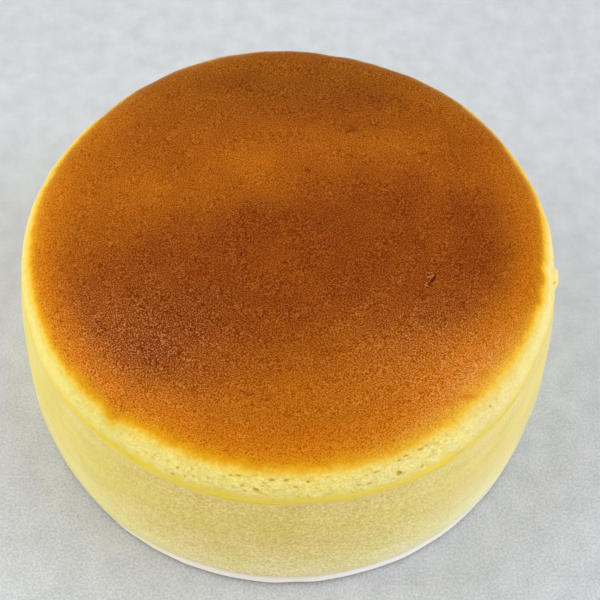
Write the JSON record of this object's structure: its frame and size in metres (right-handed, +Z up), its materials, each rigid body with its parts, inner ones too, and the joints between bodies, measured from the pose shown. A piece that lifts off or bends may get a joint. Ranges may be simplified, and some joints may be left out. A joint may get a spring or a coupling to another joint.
{
  "type": "jiggly cheesecake",
  "caption": "Round uncut souffle cheesecake with a browned domed top and pale soft sides, standing in the band of baking paper it was baked in.",
  "frame": {"origin": "middle of the underside, on the surface that the cake stands on", "axes": "+Z up, -Y towards the front, +X to the right; the crumb torn up from the shoulder is on the +X side"},
  "size_m": [0.1782, 0.1798, 0.0704],
  "materials": {
    "sponge": "soft baked sponge: matte, finely pitted golden brown top that fades through orange to a pale yellow crumb shoulder",
    "baking_paper": "thin greased baking paper, satin, yellow where it clings to the cake and white where it stands clear at the foot"
  },
  "bodies": {
    "root": {"cake": "sponge", "paper_band": "baking_paper"}
  },
  "joints": []
}
